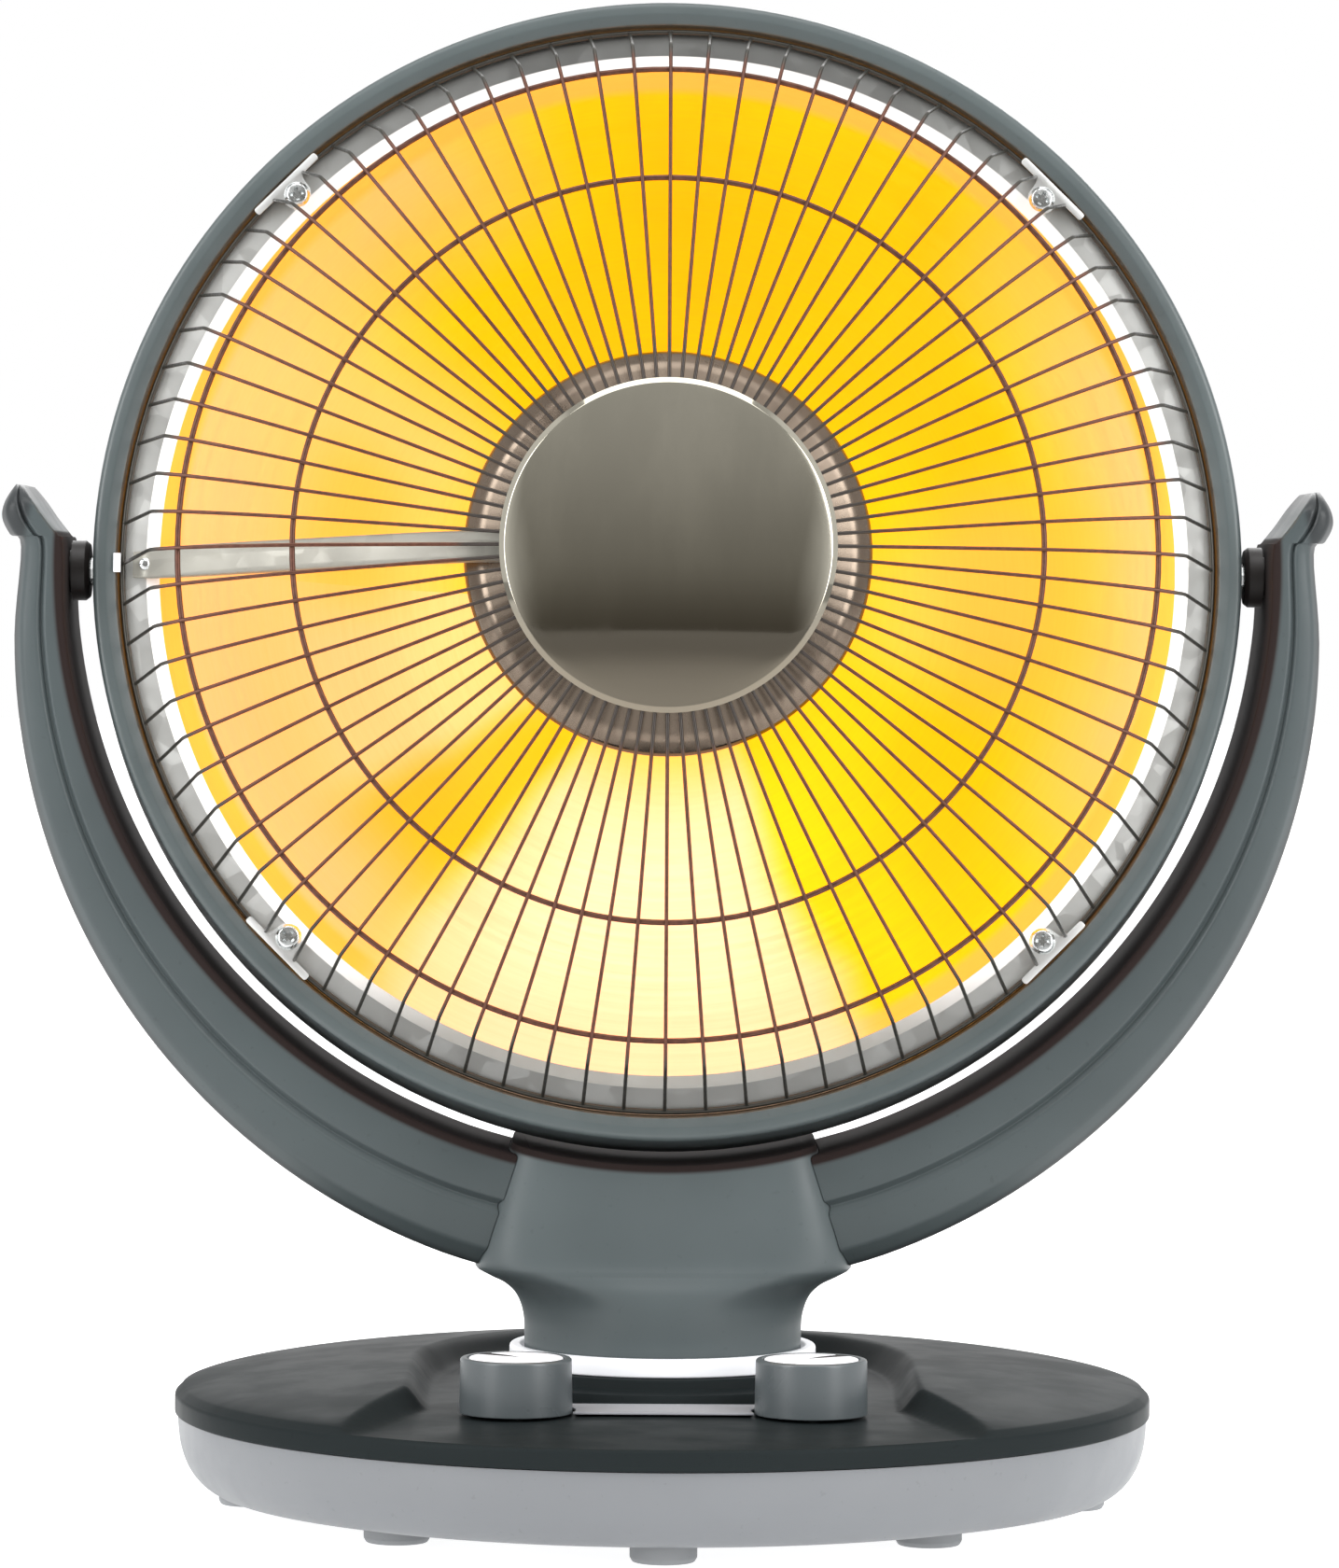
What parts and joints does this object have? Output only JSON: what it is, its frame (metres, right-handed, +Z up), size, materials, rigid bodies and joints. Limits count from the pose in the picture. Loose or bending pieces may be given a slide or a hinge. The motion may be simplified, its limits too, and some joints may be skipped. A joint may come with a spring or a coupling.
{
  "type": "parabolic dish heater",
  "caption": "Dish heater with a wire guard and chrome centre cap, tilting in a U-shaped yoke that swivels on a round two-tone base with two knobs.",
  "frame": {"origin": "on the floor under the middle of the round base", "axes": "+Z up, -Y towards the front where the dish and the knobs face, +X to the right as seen from the front"},
  "size_m": [0.41, 0.3038, 0.4685],
  "materials": {
    "dark_plastic": "satin",
    "gloss_plastic": "gloss",
    "light_plastic": "satin",
    "pale_plastic": "satin",
    "black_plastic": "matte",
    "rubber": "matte",
    "chrome": "polished",
    "dark_chrome": "polished",
    "polished_dish": "polished",
    "galvanised": "satin",
    "guard_wire": "satin",
    "steel": "satin",
    "cast_iron": "rough",
    "ceramic": "matte",
    "heating_wire": "satin"
  },
  "bodies": {
    "base": {"base_lower_shell": "light_plastic", "base_top_cover": "gloss_plastic", "neck_collar_ring": "pale_plastic", "front_legend_plate": "pale_plastic", "ballast_ring": "cast_iron", "cord_inlet_grommet": "black_plastic", "power_switch": "black_plastic", "timer_unit": "black_plastic", "swivel_motor": "steel", "tip_over_switch": "black_plastic", "foot_1": "rubber", "foot_2": "rubber", "foot_3": "rubber", "foot_4": "rubber", "foot_5": "rubber", "foot_6": "rubber", "foot_7": "rubber", "foot_8": "rubber"},
    "yoke": {"neck_housing": "dark_plastic", "swivel_spindle": "steel", "spindle_nut": "steel", "swivel_lever": "steel", "yoke_arm_left": "dark_plastic", "yoke_arm_right": "dark_plastic", "pivot_bush_left": "black_plastic", "pivot_bush_right": "black_plastic"},
    "head": {"head_housing": "dark_plastic", "reflector_dish": "polished_dish", "rim_band": "galvanised", "front_guard": "guard_wire", "centre_cap": "chrome", "hub_shield": "dark_chrome", "support_tube": "galvanised", "tube_rivet": "steel", "ceramic_core": "ceramic", "heating_coil": "heating_wire", "pivot_pin_left": "steel", "pivot_pin_right": "steel", "guard_clip_1": "galvanised", "guard_clip_2": "galvanised", "guard_clip_3": "galvanised", "guard_clip_4": "galvanised", "clip_screw_1": "steel", "clip_screw_2": "steel", "clip_screw_3": "steel", "clip_screw_4": "steel"},
    "left_knob": {"knob_left": "dark_plastic", "knob_left_dial": "pale_plastic", "knob_left_pointer": "black_plastic", "knob_left_shaft": "steel"},
    "right_knob": {"knob_right": "dark_plastic", "knob_right_dial": "pale_plastic", "knob_right_pointer": "black_plastic", "knob_right_shaft": "steel"},
    "crank": {"swivel_crank": "steel"},
    "tip_plunger": {"tip_over_plunger": "black_plastic"}
  },
  "joints": [
    {"name": "neck_swivel", "type": "hinge", "parent": "base", "child": "yoke", "pos_m": [0, 0, 0.06], "axis": [0, 0, 1], "range_deg": [-35, 35]},
    {"name": "head_tilt", "type": "hinge", "parent": "yoke", "child": "head", "pos_m": [0, 0, 0.291], "axis": [-1, 0, 0], "range_deg": [-18, 12]},
    {"name": "power_knob_turn", "type": "hinge", "parent": "base", "child": "left_knob", "pos_m": [-0.0445, -0.0755, 0.045], "axis": [0, 0, 1], "range_deg": [-135, 45]},
    {"name": "timer_knob_turn", "type": "hinge", "parent": "base", "child": "right_knob", "pos_m": [0.0445, -0.0755, 0.045], "axis": [0, 0, 1], "range_deg": [-90, 180]},
    {"name": "crank_turn", "type": "hinge", "parent": "base", "child": "crank", "pos_m": [0, 0.044, 0.0265], "axis": [0, 0, 1], "continuous": true},
    {"name": "tip_plunger_slide", "type": "slide", "parent": "base", "child": "tip_plunger", "axis": [0, 0, 1], "range_m": [-0.004, 0], "stiffness_N_per_m": 40, "springref_m": -0.004}
  ]
}
